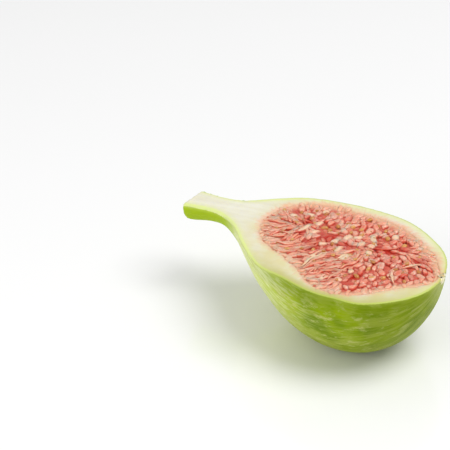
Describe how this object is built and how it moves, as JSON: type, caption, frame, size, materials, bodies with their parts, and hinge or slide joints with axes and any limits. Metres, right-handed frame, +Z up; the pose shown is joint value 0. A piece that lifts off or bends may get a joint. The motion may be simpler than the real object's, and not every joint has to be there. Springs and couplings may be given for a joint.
{
  "type": "halved fig",
  "caption": "Lengthwise half of a ripe green fig with its stem, lying on its back with the pink pulp face up.",
  "frame": {"origin": "middle of the underside of the half fig, on the surface that it lies on", "axes": "+X from the stem towards the eye, along the fig; +Y across the cut face; +Z up, out of the cut face"},
  "size_m": [0.0796, 0.0494, 0.0258],
  "materials": {
    "fruit_wall": "smooth lime green fig skin with a soft sheen, creamy white flesh where it is cut",
    "pulp": "wet salmon red pulp of small translucent fruits and seeds"
  },
  "bodies": {
    "root": {"fruit_wall": "fruit_wall", "pulp": "pulp"}
  },
  "joints": []
}
